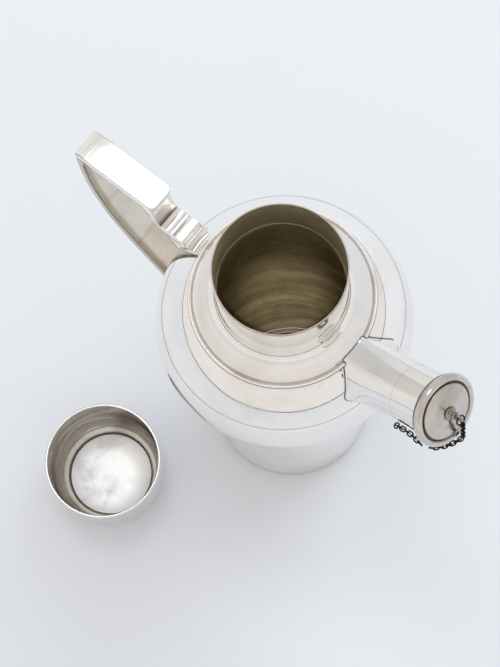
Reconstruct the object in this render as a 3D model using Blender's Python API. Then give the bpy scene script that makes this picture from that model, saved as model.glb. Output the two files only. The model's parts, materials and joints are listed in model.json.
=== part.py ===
"""Silver coffee pot with a push-on lid and a chained spout cap.

Frame: metres, +Z up, origin on the pot's axis where the foot rests.
The spout points along +X and the handle along -X.  The lid lies upside
down beside the pot.  Each piece is one closed solid, and neighbouring
pieces keep a soldering gap between them.
"""
import math

import bmesh
import bpy
from mathutils import Matrix, Vector

MM = 0.001
GAP = 0.3          # clearance between neighbouring pieces

# Pot, all in millimetres
ROUND = 44         # segments of the large turned pieces
WALL = 1.0
FOOT_R = 43.5
FOOT_H = 4.5
FOOT_WIDE = 3.4
BASE_THICK = 1.2
EQUATOR_R = 63.0
EQUATOR_Z = 173.0
UNDER_R = 24.0     # radius of the belly's turn below the equator
UNDER_ANGLE = math.radians(50)
WAIST = (47.5, 128.0)
BELLY_TOP = (43.6, 212.6)
TIER_R = 44.0
TIER_EDGE_Z = 215.2
TIER_EDGE_R = 0.9  # rounding of the shoulder step's edge
NECK_FLARE_R = 31.5
NECK_FOOT_Z = 222.8
NECK_R = 29.9      # inside
NECK_WALL = 0.7
NECK_TOP = 255.0

# Spout: a straight tube that changes from six-sided to round
SPOUT_TILT = math.radians(34.2)
CAP_CENTRE = Vector((94.0, 0.0, 226.7))
SPOUT_MOUTH = -5.4       # along the axis, from the cap's face
SPOUT_ROOT = -58.0
# The root's six sides: direction from below (degrees) and distance from the axis
ROOT_FLATS = ((0.0, 18.6), (59.6, 15.5), (120.4, 16.6), (180.0, 20.6), (239.6, 16.6), (300.4, 15.5))
ROOT_CORNERS = (20.9, 93.1, 161.0, 199.0, 266.9, 339.1)
SPOUT_WAIST_R = 14.2
SPOUT_MOUTH_R = 14.7
SPOUT_WALL = 1.2
ROOT_AT = -51.0          # where the six sides are sharpest
WAIST_AT = -22.0         # where the tube has become round
SPOUT_STATIONS = (SPOUT_ROOT, ROOT_AT, -46, -40, -34, -28, WAIST_AT, -14, SPOUT_MOUTH)
SPOUT_STEPS = (6, 6, 3, 6, 6, 4)     # segments between one corner and the next

# Strainer in the spout's root
STRAINER_R = 12.2
STRAINER_THICK = 0.8
STRAINER_AT = -30.0
STRAINER_HOLE_R = 1.15
STRAINER_RINGS = ((1, 0.0), (6, 4.4), (12, 8.6))     # holes and distance from the middle
SPOUT_WAY_R = 12.4       # the opening in the body behind the spout
SPOUT_WAY_END = -34.0

# Spout cap
BEAD_R = 17.7
BEAD_IN = 14.1
BEAD_LOW = -4.2
BEAD_HIGH = 0.2
DISC_R = 13.6
SLEEVE_R = 12.6
SLEEVE_DEPTH = 8.0
EYE_AT = 7.4             # finial's eye, along the axis
EYE_R = 1.9
EYE_WIRE = 0.65

# Chain
LINK_INNER = 2.44
LINK_WIRE = 0.7
LINK_WIDTH = 2.84
LINK_PITCH = 2.08
RING_R = 2.3
RING_WIRE = 0.4
LUG_R = 1.3
LUG_WIRE = 0.4
LUG_RING_R = 1.8
LUG_LINK_AT = 4.1       # first link's middle, from the lug
CAP_LINK_AT = 4.75       # first link's middle, from the finial's eye
LUG_AT = (-21.5, math.radians(75))   # along the axis, angle round it
# The chain's two runs: along the axis, angle round it in degrees, distance from it
LOWER_RUN = ((-14.0, 71, 16.6), (-10.5, 67, 17.5), (-8.0, 64, 18.5), (-6.4, 61, 19.6))
UPPER_RUN = ((5.6, 4, 9.0), (3.8, 6, 13.4), (1.8, 6, 17.4), (-0.4, 10, 20.0), (-2.0, 21, 20.2),
             (-3.4, 32, 20.0), (-4.6, 43, 19.8), (-5.4, 51, 19.7))

# Handle: bar, bracket and strap
BAR_IN = -71.0
BAR_OUT = -119.4
BAR_TOP = 224.0
BAR_THICK = 5.5
BAR_HALF = 7.3
BAR_BEVEL = 2.6
BAR_CORNER = 3.0
BRACKET_HALF = 6.6
BRACKET_ROLLS = (((-66.4, 199.6), 3.6, 150, 50, 5), ((-59.6, 199.8), 3.6, 130, 90, 4))
BRACKET_STEPS = ((-55.2, 203.4), (-54.6, 200.6), (-52.0, 200.6), (-51.5, 198.0), (-46.0, 198.0))
BRACKET_BELOW = ((-46.0, 190.0), (-57.0, 193.0), (-64.0, 195.8), (-72.0, 198.6), (-76.4, 204.5))
STRAP_THICK = 4.6

# Lid, in its own frame: the flat top lies on z = 0 and the rim is up
LID_PLACE = (-55.4, -98.9)
LID_H = 40.8
LID_R = 31.0       # inside
LID_WALL = 0.8
LID_BEAD = 32.5
LID_DISC_R = 23.2


# ---------------------------------------------------------------- helpers

def clear_scene():
    for obj in list(bpy.data.objects):
        bpy.data.objects.remove(obj, do_unlink=True)


def metal(name, colour, roughness):
    mat = bpy.data.materials.new(name)
    mat.use_nodes = True
    shader = mat.node_tree.nodes["Principled BSDF"]
    shader.inputs["Base Color"].default_value = (*colour, 1.0)
    shader.inputs["Roughness"].default_value = roughness
    shader.inputs["Metallic"].default_value = 1.0
    return mat


def place(name, bm, colour, roughness, keep=True):
    """Write a bmesh in millimetres to a named object in metres."""
    bmesh.ops.remove_doubles(bm, verts=bm.verts, dist=1e-4)
    bmesh.ops.recalc_face_normals(bm, faces=bm.faces)
    bmesh.ops.scale(bm, vec=(MM, MM, MM), verts=bm.verts)
    mesh = bpy.data.meshes.new(name)
    bm.to_mesh(mesh)
    bm.free()
    mesh.shade_smooth()
    mesh.set_sharp_from_angle(angle=math.radians(35))
    obj = bpy.data.objects.new(name, mesh)
    bpy.context.scene.collection.objects.link(obj)
    if keep:
        obj.data.materials.append(metal(name, colour, roughness))
    else:
        obj.hide_render = True
        obj.display_type = "WIRE"
    return obj


def turned(outline, steps=ROUND):
    """Turn a closed outline of (radius, height) points round Z."""
    bm = bmesh.new()
    rings = []
    for radius, height in outline:
        if radius < 1e-6:
            rings.append([bm.verts.new((0, 0, height))] * steps)
            continue
        ring = []
        for i in range(steps):
            angle = 2 * math.pi * i / steps
            ring.append(bm.verts.new((radius * math.cos(angle), radius * math.sin(angle), height)))
        rings.append(ring)
    for lower, upper in zip(rings, rings[1:] + rings[:1]):
        for i in range(steps):
            j = (i + 1) % steps
            corners = list(dict.fromkeys((lower[i], lower[j], upper[j], upper[i])))
            if len(corners) > 2:
                bm.faces.new(corners)
    return bm


def extruded(outline, half):
    """Extrude a closed outline of (x, z) points to both sides in Y."""
    bm = bmesh.new()
    face = bm.faces.new([bm.verts.new((x, -half, z)) for x, z in outline])
    side = bmesh.ops.extrude_face_region(bm, geom=[face])["geom"]
    moved = [v for v in side if isinstance(v, bmesh.types.BMVert)]
    bmesh.ops.translate(bm, vec=(0, 2 * half, 0), verts=moved)
    return bm


def bezier(p0, p1, p2, p3, count):
    points = []
    for i in range(count):
        t = i / (count - 1)
        a, b, c, d = (1 - t) ** 3, 3 * (1 - t) ** 2 * t, 3 * (1 - t) * t * t, t ** 3
        points.append(tuple(a * p0[k] + b * p1[k] + c * p2[k] + d * p3[k] for k in range(2)))
    return points


def arc(centre, radius, start, end, count):
    """Points on an arc; the angles are in degrees."""
    points = []
    for i in range(count):
        angle = math.radians(start + (end - start) * i / (count - 1))
        points.append((centre[0] + radius * math.cos(angle), centre[1] + radius * math.sin(angle)))
    return points


def offset(points, distance):
    """Move an open curve of points sideways, to the left of its direction."""
    moved = []
    for i, point in enumerate(points):
        before = Vector(points[max(i - 1, 0)])
        after = Vector(points[min(i + 1, len(points) - 1)])
        along = (after - before).normalized()
        moved.append((point[0] - along.y * distance, point[1] + along.x * distance))
    return moved


def torus(centre, normal, radius, wire, steps=16, sides=6, stretch=None, extra=0.0):
    """A ring of wire; with stretch, an oval drawn out along that direction."""
    normal = Vector(normal).normalized()
    first = Vector(stretch).normalized() if stretch else normal.orthogonal().normalized()
    second = normal.cross(first)
    bm = bmesh.new()
    rings = []
    for i in range(steps):
        angle = 2 * math.pi * i / steps
        out = first * math.cos(angle) + second * math.sin(angle)
        middle = Vector(centre) + out * radius + first * math.copysign(extra, math.cos(angle))
        rings.append([bm.verts.new(middle + (out * math.cos(b) + normal * math.sin(b)) * wire)
                      for b in (2 * math.pi * k / sides for k in range(sides))])
    for ring, following in zip(rings, rings[1:] + rings[:1]):
        for k in range(sides):
            n = (k + 1) % sides
            bm.faces.new((ring[k], ring[n], following[n], following[k]))
    return bm


def boolean(obj, cutter, operation):
    modifier = obj.modifiers.new(operation.lower(), "BOOLEAN")
    modifier.operation = operation
    modifier.object = cutter
    modifier.solver = "EXACT"


# ------------------------------------------------------------- the profile

def belly_curve():
    """The body's outer side from the shoulder down to the foot."""
    upper = bezier(BELLY_TOP, (51, 206), (EQUATOR_R, 187), (EQUATOR_R, EQUATOR_Z), 7)
    centre = (EQUATOR_R - UNDER_R, EQUATOR_Z)
    under = arc(centre, UNDER_R, 0, -math.degrees(UNDER_ANGLE), 5)
    turn = Vector((-math.sin(UNDER_ANGLE), -math.cos(UNDER_ANGLE)))
    end = Vector(under[-1])
    lower = bezier(end, end + 9 * turn, (WAIST[0] + 0.5, WAIST[1] + 12), WAIST, 5)
    return upper + under[1:] + lower[1:] + [(44.0, FOOT_H + GAP)]


def tier_curve():
    """The shoulder step's outer side, from its lower edge up to the neck."""
    edge = arc((TIER_R - TIER_EDGE_R, TIER_EDGE_Z - TIER_EDGE_R), TIER_EDGE_R, 0, 74, 4)
    rise = bezier((36.5, 217.9), (33.5, 218.8), (32.2, 220.3), (NECK_FLARE_R, NECK_FOOT_Z - GAP), 5)
    return [(TIER_R, BELLY_TOP[1] + GAP)] + edge + rise


def body_volume(grow):
    """The pot's outer volume up to the neck, grown by a clearance."""
    side = [(r + grow, z) for r, z in belly_curve()]
    tier = offset(tier_curve(), -grow)
    tier[0] = (TIER_R + grow, side[0][1])
    return turned([(0, tier[-1][1])] + tier[::-1] + side + [(0, side[-1][1])])


# ------------------------------------------------------------------- spout

def axis_frame():
    """Matrix from the spout's own frame (z along the axis) to the pot's."""
    along = Vector((math.cos(SPOUT_TILT), 0, math.sin(SPOUT_TILT)))
    down = Vector((math.sin(SPOUT_TILT), 0, -math.cos(SPOUT_TILT)))
    side = along.cross(down)
    frame = Matrix((down, side, along)).transposed().to_4x4()
    frame.translation = CAP_CENTRE
    return frame


def on_axis(along, angle, radius):
    """Point at a place along the spout and an angle from below to the near side."""
    return axis_frame() @ Vector((radius * math.cos(angle), -radius * math.sin(angle), along))


def spout_radius(along, angle, inset):
    """Half width of the tube: six flats at the root, round at the mouth."""
    if along > WAIST_AT:
        share = (along - WAIST_AT) / (SPOUT_MOUTH - WAIST_AT)
        return SPOUT_WAIST_R + (SPOUT_MOUTH_R - SPOUT_WAIST_R) * share ** 1.5 - inset
    share = min((WAIST_AT - along) / (WAIST_AT - ROOT_AT), 1.0) ** 2
    turns = [(math.cos(angle - math.radians(facing)), reach) for facing, reach in ROOT_FLATS]
    root = min(reach / turn for turn, reach in turns if turn > 0.2)
    return SPOUT_WAIST_R + (root - SPOUT_WAIST_R) * share - inset


def spout_tube():
    corners = ROOT_CORNERS + (ROOT_CORNERS[0] + 360,)
    angles = [math.radians(start + (end - start) * i / steps)
              for start, end, steps in zip(corners, corners[1:], SPOUT_STEPS) for i in range(steps)]
    bm = bmesh.new()
    rings = []
    for inset, order in ((0.0, SPOUT_STATIONS), (SPOUT_WALL, SPOUT_STATIONS[::-1])):
        for along in order:
            ring = []
            for angle in angles:
                radius = spout_radius(along, angle, inset)
                ring.append(bm.verts.new((radius * math.cos(angle), radius * math.sin(angle), along)))
            rings.append(ring)
    for ring, following in zip(rings, rings[1:] + rings[:1]):
        for i in range(len(angles)):
            j = (i + 1) % len(angles)
            bm.faces.new((ring[i], ring[j], following[j], following[i]))
    bmesh.ops.transform(bm, matrix=axis_frame(), verts=bm.verts)
    tube = place("spout_tube", bm, (0.90, 0.88, 0.85), 0.12)
    pot = place("cut_pot_volume", body_volume(GAP), None, None, keep=False)
    boolean(tube, pot, "DIFFERENCE")


def strainer():
    """A pierced disc across the spout's root: one hole and two rings of them."""
    low, high = STRAINER_AT - STRAINER_THICK, STRAINER_AT
    plate = turned([(0, low), (STRAINER_R, low), (STRAINER_R, high), (0, high)], 32)
    bmesh.ops.transform(plate, matrix=axis_frame(), verts=plate.verts)
    disc = place("spout_strainer", plate, (0.74, 0.72, 0.68), 0.25)
    holes = bmesh.new()
    for count, distance in STRAINER_RINGS:
        for i in range(count):
            angle = 2 * math.pi * i / count
            where = Matrix.Translation((distance * math.cos(angle), distance * math.sin(angle), high))
            bmesh.ops.create_cone(holes, cap_ends=True, segments=6, radius1=STRAINER_HOLE_R,
                                  radius2=STRAINER_HOLE_R, depth=4 * STRAINER_THICK,
                                  matrix=axis_frame() @ where)
    boolean(disc, place("cut_strainer_holes", holes, None, None, keep=False), "DIFFERENCE")


# --------------------------------------------------------------------- pot

def body():
    outer = belly_curve()
    inner = offset(outer, -WALL)[::-1]
    inner[-1] = (BELLY_TOP[0] - WALL, BELLY_TOP[1] - 0.2)
    inner[0] = (inner[0][0], outer[-1][1])
    shell = place("body_shell", turned(outer + inner), (0.91, 0.89, 0.86), 0.10)
    low = SPOUT_ROOT - 4
    bore = turned([(0, low), (SPOUT_WAY_R, low), (SPOUT_WAY_R, SPOUT_WAY_END), (0, SPOUT_WAY_END)], 24)
    bmesh.ops.transform(bore, matrix=axis_frame(), verts=bore.verts)
    boolean(shell, place("cut_spout_way", bore, None, None, keep=False), "DIFFERENCE")

    top = tier_curve()
    low, rise = top[0][1], top[-5:]
    under = [(NECK_FLARE_R - WALL, NECK_FOOT_Z - GAP)] + offset(rise, WALL)[::-1][1:]
    under += [(TIER_R - 1.4, TIER_EDGE_Z - TIER_EDGE_R), (TIER_R - 1.4, low)]
    place("shoulder_tier", turned(top + under), (0.91, 0.89, 0.86), 0.10)

    r_out = NECK_R + NECK_WALL
    lip = arc((r_out - 0.35, NECK_TOP - 0.45), 0.45, -20, 160, 5)
    neck = [(NECK_R, NECK_FOOT_Z), (r_out + 0.9, NECK_FOOT_Z), (r_out + 0.2, NECK_FOOT_Z + 1.0),
            (r_out, NECK_FOOT_Z + 2.4), (r_out, NECK_TOP - 1.2)]
    place("neck_collar", turned(neck + lip + [(NECK_R, NECK_TOP - 1.2)]), (0.91, 0.89, 0.86), 0.10)

    foot = arc((FOOT_R - 1.4, 1.4), 1.4, -90, 0, 4) + [(FOOT_R, 3.4), (FOOT_R - 0.6, FOOT_H)]
    foot += [(FOOT_R - FOOT_WIDE, FOOT_H), (FOOT_R - FOOT_WIDE, 0)]
    place("foot_ring", turned(foot), (0.90, 0.88, 0.85), 0.14)

    radius = FOOT_R - FOOT_WIDE - GAP
    plate = [(0, 0), (radius, 0), (radius, BASE_THICK), (0, BASE_THICK)]
    place("base_plate", turned(plate), (0.60, 0.55, 0.46), 0.30)


# ------------------------------------------------------------------ handle

def handle():
    bm = bmesh.new()
    c = BAR_CORNER
    plan = arc((BAR_IN - c, -BAR_HALF + c), c, -90, 0, 4) + arc((BAR_IN - c, BAR_HALF - c), c, 0, 90, 4)
    plan += [(BAR_OUT, BAR_HALF), (BAR_OUT, -BAR_HALF)]
    face = bm.faces.new([bm.verts.new((x, y, BAR_TOP - BAR_THICK)) for x, y in plan])
    raised = bmesh.ops.extrude_face_region(bm, geom=[face])["geom"]
    lifted = [v for v in raised if isinstance(v, bmesh.types.BMVert)]
    bmesh.ops.translate(bm, vec=(0, 0, BAR_THICK), verts=lifted)
    outer = [e for e in bm.edges if all(v.co.x < BAR_OUT + 0.01 and v.co.z > BAR_TOP - 0.01
                                        for v in e.verts)]
    bmesh.ops.bevel(bm, geom=outer, offset=BAR_BEVEL, segments=1, affect="EDGES")
    place("handle_top_bar", bm, (0.92, 0.91, 0.89), 0.08)

    under = BAR_TOP - BAR_THICK - GAP
    outline = [(-77.4, under), (-72.6, under), (-71.8, 208.0)]
    for roll in BRACKET_ROLLS:
        outline += arc(*roll)
    outline += list(BRACKET_STEPS + BRACKET_BELOW)
    bracket = place("handle_bracket", extruded(outline, BRACKET_HALF), (0.90, 0.88, 0.84), 0.12)
    pot = place("cut_pot_for_bracket", body_volume(GAP), None, None, keep=False)
    boolean(bracket, pot, "DIFFERENCE")

    outside = bezier((BAR_OUT, under), (-120.9, 196), (-120.4, 160), (-97, 131), 10)
    outside += bezier((-97, 131), (-83, 114), (-66, 96), (-42, 62), 6)[1:]
    inside = bezier((BAR_OUT + STRAP_THICK, under), (-116.2, 197), (-115.6, 166), (-93.4, 139), 10)
    inside += bezier((-93.4, 139), (-78, 120), (-62, 103), (-36, 67), 6)[1:]
    strap = place("handle_strap", extruded(outside + inside[::-1], BAR_HALF), (0.84, 0.80, 0.74), 0.14)
    pot = place("cut_pot_for_strap", body_volume(GAP), None, None, keep=False)
    boolean(strap, pot, "DIFFERENCE")


# --------------------------------------------------------------------- lid

def lid():
    inner = [(LID_DISC_R + 0.6, 2.2), (25.6, 3.4)]
    inner += bezier((25.6, 3.4), (29.4, 6.2), (LID_R, 12.5), (LID_R, 21.0), 5)[1:]
    outer = offset(inner, -LID_WALL)
    outer[0] = (LID_DISC_R + 0.6, 0.6)
    neck_in = [(LID_R, LID_H - 2.2)]
    neck_out = [(LID_R + LID_WALL, LID_H - 2.2)]
    shell = turned(outer + neck_out + neck_in + inner[::-1])

    disc = [(0, 0.2), (18, 0.2), (LID_DISC_R, 0.0), (LID_DISC_R + 0.3, 0.5), (LID_DISC_R + 0.3, 1.4),
            (LID_DISC_R - 0.8, 1.4), (0, 1.1)]
    low = LID_H - 2.2 + GAP
    wire = [(LID_R, low), (LID_BEAD - 0.4, low), (LID_BEAD, low + 0.5), (LID_BEAD, LID_H - 0.5),
            (LID_BEAD - 0.5, LID_H), (LID_R + 0.5, LID_H), (LID_R, LID_H - 0.5)]
    holder = bpy.data.objects.new("lid_place", None)
    bpy.context.scene.collection.objects.link(holder)
    holder.location = (LID_PLACE[0] * MM, LID_PLACE[1] * MM, 0)
    for name, bm, tone in (("lid_shell", shell, 0.86), ("lid_top_disc", turned(disc), 0.92),
                           ("lid_rim_wire", turned(wire), 0.93)):
        piece = place(name, bm, (tone, tone * 0.98, tone * 0.95), 0.14)
        piece.parent = holder


# --------------------------------------------------------------- spout cap

def cap():
    middle, half = (BEAD_R + BEAD_IN) / 2, (BEAD_R - BEAD_IN) / 2
    centre, tall = (BEAD_LOW + BEAD_HIGH) / 2, (BEAD_HIGH - BEAD_LOW) / 2
    bead = [(middle + half * math.cos(a), centre + tall * math.sin(a))
            for a in (2 * math.pi * i / 10 for i in range(10))]
    disc = [(0, 0.6), (DISC_R, -1.1), (DISC_R, -0.1), (DISC_R - 0.6, 0.3), (4.0, 1.7), (0, 1.9)]
    flange = BEAD_LOW - GAP
    sleeve = [(SLEEVE_R - 0.8, -1.4), (SLEEVE_R, -1.4), (SLEEVE_R, flange), (BEAD_R - 1.2, flange),
              (BEAD_R - 1.2, SPOUT_MOUTH + GAP), (SLEEVE_R, SPOUT_MOUTH + GAP),
              (SLEEVE_R, SPOUT_MOUTH - SLEEVE_DEPTH), (SLEEVE_R - 0.8, SPOUT_MOUTH - SLEEVE_DEPTH)]
    stem = [(0, 2.2), (3.3, 2.2), (3.3, 2.7), (1.5, 3.3), (1.2, 4.0), (1.9, 4.7), (1.5, 5.7), (0, 6.0)]
    holder = bpy.data.objects.new("cap_axis", None)
    bpy.context.scene.collection.objects.link(holder)
    frame = axis_frame()
    frame.translation = CAP_CENTRE * MM
    holder.matrix_world = frame
    pieces = (("cap_bead", turned(bead, 40), 0.90), ("cap_disc", turned(disc, 40), 0.84),
              ("cap_sleeve", turned(sleeve, 40), 0.80), ("cap_finial", turned(stem, 14), 0.88))
    for name, bm, tone in pieces:
        piece = place(name, bm, (tone, tone * 0.97, tone * 0.93), 0.16)
        piece.parent = holder
    eye = place("join_finial_eye", torus((0, 0, EYE_AT), (0, 1, 0), EYE_R, EYE_WIRE, 12, 6),
                None, None, keep=False)
    eye.parent = holder
    boolean(bpy.data.objects["cap_finial"], eye, "UNION")


# ------------------------------------------------------------------- chain

def smooth_path(points, pitch):
    """Evenly spaced points on a smooth curve through the given ones."""
    ends = [2 * points[0] - points[1]] + points + [2 * points[-1] - points[-2]]
    fine = []
    for a, b, c, d in zip(ends, ends[1:], ends[2:], ends[3:]):
        for i in range(40):
            t = i / 40
            fine.append(0.5 * (2 * b + (c - a) * t + (2 * a - 5 * b + 4 * c - d) * t * t
                               + (3 * b - a - 3 * c + d) * t ** 3))
    spaced, travelled = [fine[0]], 0.0
    for before, after in zip(fine, fine[1:]):
        travelled += (after - before).length
        if travelled >= pitch:
            spaced.append(after)
            travelled -= pitch
    return spaced


def chain_run(prefix, points, normal):
    """A row of interlocked oval links along a path; each turns a quarter."""
    spots = smooth_path(points, LINK_PITCH)
    half_in, half_wide = LINK_INNER / 2, LINK_WIDTH / 2
    bend = half_wide - LINK_WIRE / 2
    straight = half_in + LINK_WIRE / 2 - bend
    for i, spot in enumerate(spots):
        before, after = spots[max(i - 1, 0)], spots[min(i + 1, len(spots) - 1)]
        along = (after - before).normalized()
        normal = (normal - along * normal.dot(along)).normalized()
        turn = Matrix.Rotation(math.pi / 2 * i, 3, along)
        link = torus(spot, turn @ normal, bend, LINK_WIRE / 2, 10, 5, along, straight)
        place(f"{prefix}_{i + 1:02d}", link, (0.16, 0.14, 0.13), 0.35)


def chain():
    at, angle = LUG_AT
    along = Vector((math.cos(SPOUT_TILT), 0, math.sin(SPOUT_TILT)))
    down = Vector((math.sin(SPOUT_TILT), 0, -math.cos(SPOUT_TILT)))
    out = (on_axis(at, angle, 20) - on_axis(at, angle, 10)).normalized()
    across = out.cross(along)

    lug = on_axis(at, angle, SPOUT_WAIST_R + GAP + LUG_R + LUG_WIRE + 0.1)
    place("chain_lug", torus(lug, across, LUG_R, LUG_WIRE, 12, 6), (0.5, 0.47, 0.43), 0.3)
    place("lug_jump_ring", torus(lug + along * LUG_RING_R, out, LUG_RING_R, RING_WIRE, 12, 6),
          (0.2, 0.18, 0.16), 0.35)
    lower = [lug + along * LUG_LINK_AT] + [on_axis(s, math.radians(a), r) for s, a, r in LOWER_RUN]
    chain_run("lug_link", lower, across)

    eye = on_axis(EYE_AT, 0, 0)
    place("cap_jump_ring", torus(eye + down * (RING_R - 0.35), along, RING_R, RING_WIRE, 14, 6),
          (0.2, 0.18, 0.16), 0.35)
    upper = [eye + down * CAP_LINK_AT] + [on_axis(s, math.radians(a), r) for s, a, r in UPPER_RUN]
    chain_run("cap_link", upper, Vector((0, 1, 0)))


def main():
    clear_scene()
    body()
    spout_tube()
    strainer()
    handle()
    lid()
    cap()
    chain()


main()
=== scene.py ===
"""Looks of the silver coffee pot: fine turned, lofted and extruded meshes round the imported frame."""
import json
import math

import bmesh
import bpy
from mathutils import Matrix, Vector


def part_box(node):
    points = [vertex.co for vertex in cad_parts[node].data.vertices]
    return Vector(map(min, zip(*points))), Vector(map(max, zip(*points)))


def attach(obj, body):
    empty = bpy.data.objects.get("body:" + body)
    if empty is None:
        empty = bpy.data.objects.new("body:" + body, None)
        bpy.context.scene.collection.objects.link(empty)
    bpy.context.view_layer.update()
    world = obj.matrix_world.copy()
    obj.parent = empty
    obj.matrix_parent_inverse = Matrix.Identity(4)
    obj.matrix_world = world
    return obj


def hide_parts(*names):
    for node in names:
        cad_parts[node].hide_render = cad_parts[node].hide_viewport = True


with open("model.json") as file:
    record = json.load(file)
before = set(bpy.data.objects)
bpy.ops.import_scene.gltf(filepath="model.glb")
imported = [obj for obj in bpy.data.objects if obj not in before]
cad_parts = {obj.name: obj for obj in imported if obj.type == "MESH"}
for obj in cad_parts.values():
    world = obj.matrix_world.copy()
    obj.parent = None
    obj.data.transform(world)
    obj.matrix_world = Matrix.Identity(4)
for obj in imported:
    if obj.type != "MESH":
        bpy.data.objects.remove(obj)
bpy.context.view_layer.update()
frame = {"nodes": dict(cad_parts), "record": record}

MM = 0.001
FINE = 192               # segments of the large turned pieces
CAP_STEPS = 128          # segments of the cap and of the line round the lid's floor
SLEEVE_STEPS = 96        # segments of the cap's hidden sleeve
LINE_SIDES = 8           # sides of the thin lines at seams
UP = Vector((0, 0, 1))


def size_of(node):
    """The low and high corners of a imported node's box, in millimetres."""
    lo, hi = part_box(node)
    return Vector(lo) / MM, Vector(hi) / MM


# Driving sizes, in millimetres, read from the frame where it holds them
_, BODY_HI = size_of("body_shell")
_, TIER_HI = size_of("shoulder_tier")
NECK_LO, NECK_HI = size_of("neck_collar")
_, FOOT_HI = size_of("foot_ring")
BAR_LO, BAR_HI = size_of("handle_top_bar")
_, BRACKET_HI = size_of("handle_bracket")
_, STRAP_HI = size_of("handle_strap")
LID_LO, LID_HI = size_of("lid_rim_wire")
_, BASE_HI = size_of("base_plate")

GAP = 0.3                # between touching pieces
WALL = 1.0               # of the spun body
EQUATOR_R = BODY_HI.x
EQUATOR_Z = 173.0
UNDER_R = 24.0
UNDER_ANGLE = math.radians(50)
WAIST = (47.5, 128.0)
BELLY_TOP = (43.6, BODY_HI.z)
TIER_R = TIER_HI.x
LEDGE_Z = 214.0          # top of the shoulder's raised rim
NECK_R = 29.9
NECK_OUT = 30.6
NECK_TOP = NECK_HI.z
NECK_FOOT = NECK_LO.z
LID_AT = Vector(((LID_LO.x + LID_HI.x) / 2, (LID_LO.y + LID_HI.y) / 2, 0))
LID_H = LID_HI.z
LID_BEAD = (LID_HI.x - LID_LO.x) / 2
LID_R = 31.0
LID_WALL = 0.8
LID_FLOOR_R = 23.2

JOINTS = {joint["name"]: joint for joint in frame["record"]["behaviour"]["joints"]}
AXIS = Vector(JOINTS["cap_pull"]["axis"]).normalized()
SIDE = Vector((0, 1, 0))
DOWN = SIDE.cross(AXIS)
EYE = Vector(JOINTS["cap_chain_swing"]["pos_m"]) / MM
LUG = Vector(JOINTS["lug_chain_swing"]["pos_m"]) / MM
EYE_AT = 7.4             # the eye's place along the spout, from the cap's centre
CAP_CENTRE = EYE - EYE_AT * AXIS
MOUTH = -5.4             # the spout's lip, on the same scale


# ----------------------------------------------------------------- curves

def bezier(p0, p1, p2, p3, count):
    """Points of a cubic curve from p0 to p3."""
    points = []
    for i in range(count):
        t = i / (count - 1)
        a, b, c, d = (1 - t) ** 3, 3 * (1 - t) ** 2 * t, 3 * (1 - t) * t * t, t ** 3
        points.append(tuple(a * p0[k] + b * p1[k] + c * p2[k] + d * p3[k] for k in range(2)))
    return points


def arc(centre, radius, start, end, count):
    """Points of a circle between two angles in degrees."""
    points = []
    for i in range(count):
        angle = math.radians(start + (end - start) * i / (count - 1))
        points.append((centre[0] + radius * math.cos(angle), centre[1] + radius * math.sin(angle)))
    return points


def line(start, end, count):
    """Evenly spaced points of a straight stretch."""
    return [tuple(a + (b - a) * i / (count - 1) for a, b in zip(start, end)) for i in range(count)]


def offset(points, distance):
    """Move an open curve of points sideways, to the left of its direction."""
    moved = []
    for i, point in enumerate(points):
        before, after = Vector(points[max(i - 1, 0)]), Vector(points[min(i + 1, len(points) - 1)])
        along = (after - before).normalized()
        moved.append((point[0] - along.y * distance, point[1] + along.x * distance))
    return moved


ROUND_STEP = math.radians(9)     # of the arcs at rounded corners


def rounded(corners):
    """A closed outline with arcs at its corners; each corner is (x, z, radius)."""
    outline = []
    for i, (x, z, radius) in enumerate(corners):
        here = Vector((x, z))
        back = Vector(corners[i - 1][:2]) - here
        ahead = Vector(corners[(i + 1) % len(corners)][:2]) - here
        if radius <= 0:
            outline.append((x, z))
            continue
        back.normalize()
        ahead.normalize()
        turn = back.angle(ahead)
        reach = radius / math.tan(turn / 2)
        centre = here + (back + ahead).normalized() * (radius / math.sin(turn / 2))
        start, end = here + back * reach - centre, here + ahead * reach - centre
        first = math.atan2(start.y, start.x)
        swing = (math.atan2(end.y, end.x) - first + math.pi) % (2 * math.pi) - math.pi
        steps = max(4, int(abs(swing) / ROUND_STEP))
        for k in range(steps + 1):
            angle = first + swing * k / steps
            outline.append((centre.x + radius * math.cos(angle), centre.y + radius * math.sin(angle)))
    return outline


# ----------------------------------------------------------------- meshes

SMOOTH_ANGLE = 32        # degrees; sharper edges stay crisp
WIRE_ANGLE = 60


def add_object(name, data):
    """A new object in the scene."""
    obj = bpy.data.objects.new(name, data)
    bpy.context.scene.collection.objects.link(obj)
    return obj


def finish_mesh(name, points, faces, materials, slots=None, smooth_angle=SMOOTH_ANGLE):
    """Make an object from points in millimetres; slots gives each face's material."""
    mesh = bpy.data.meshes.new(name)
    mesh.from_pydata([Vector(p) * MM for p in points], [], faces)
    for material in materials:
        mesh.materials.append(material)
    if slots:
        mesh.polygons.foreach_set("material_index", slots)
    mesh.shade_smooth()
    mesh.set_sharp_from_angle(angle=math.radians(smooth_angle))
    return add_object(name, mesh)


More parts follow.
